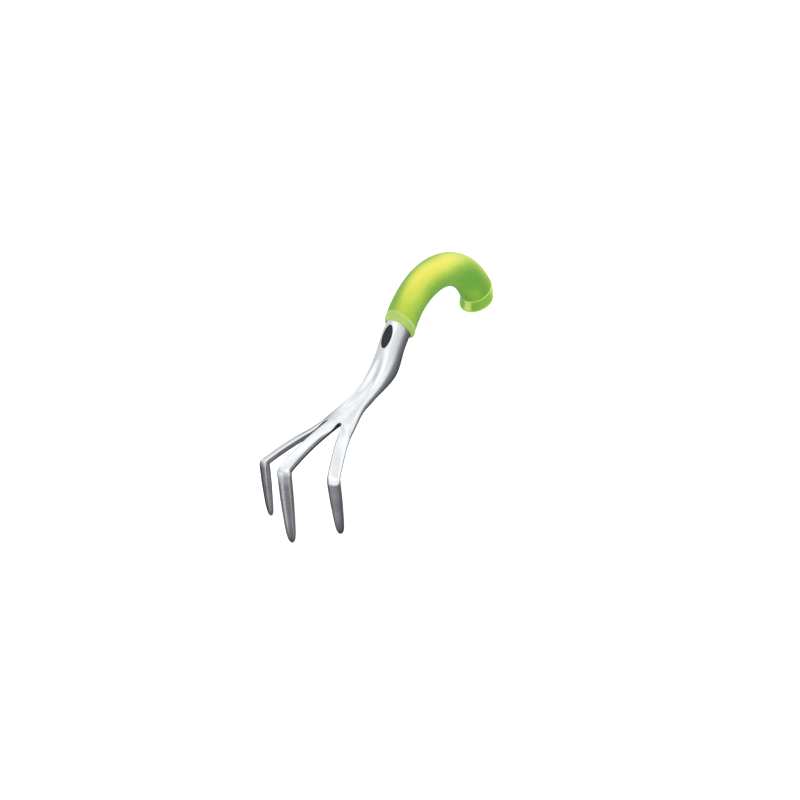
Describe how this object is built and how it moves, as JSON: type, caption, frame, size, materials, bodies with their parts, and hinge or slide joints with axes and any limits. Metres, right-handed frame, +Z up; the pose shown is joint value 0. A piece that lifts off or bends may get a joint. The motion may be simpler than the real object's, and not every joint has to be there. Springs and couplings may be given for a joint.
{
  "type": "hand cultivator",
  "caption": "Short cast cultivator with fanned, downturned tines and a hooked soft grip that ends in a flat cap.",
  "frame": {"origin": "on the ground, under the middle of the overall length and width", "axes": "+X along the tool from the tine tips towards the butt of the hooked grip, +Y to the left of someone facing the butt from the tines, +Z up from the ground the tool rests on"},
  "size_m": [0.3283, 0.0868, 0.0875],
  "materials": {
    "cast_metal": "die-cast, polished and clear-coated, soft satin gloss",
    "adhesive": "thin bonding film, hidden under the badge",
    "badge": "charcoal, smooth, slightly domed",
    "core": "moulded rigid core, hidden inside the grip",
    "grip": "soft translucent green elastomer with a silky gloss",
    "trim": "firmer, paler and more translucent green elastomer, glossy"
  },
  "bodies": {
    "root": {"cultivator_head": "cast_metal", "badge_adhesive": "adhesive", "badge_plate": "badge", "core_left": "core", "core_right": "core", "grip_sleeve": "grip", "front_collar": "trim", "end_cap": "trim"}
  },
  "joints": []
}
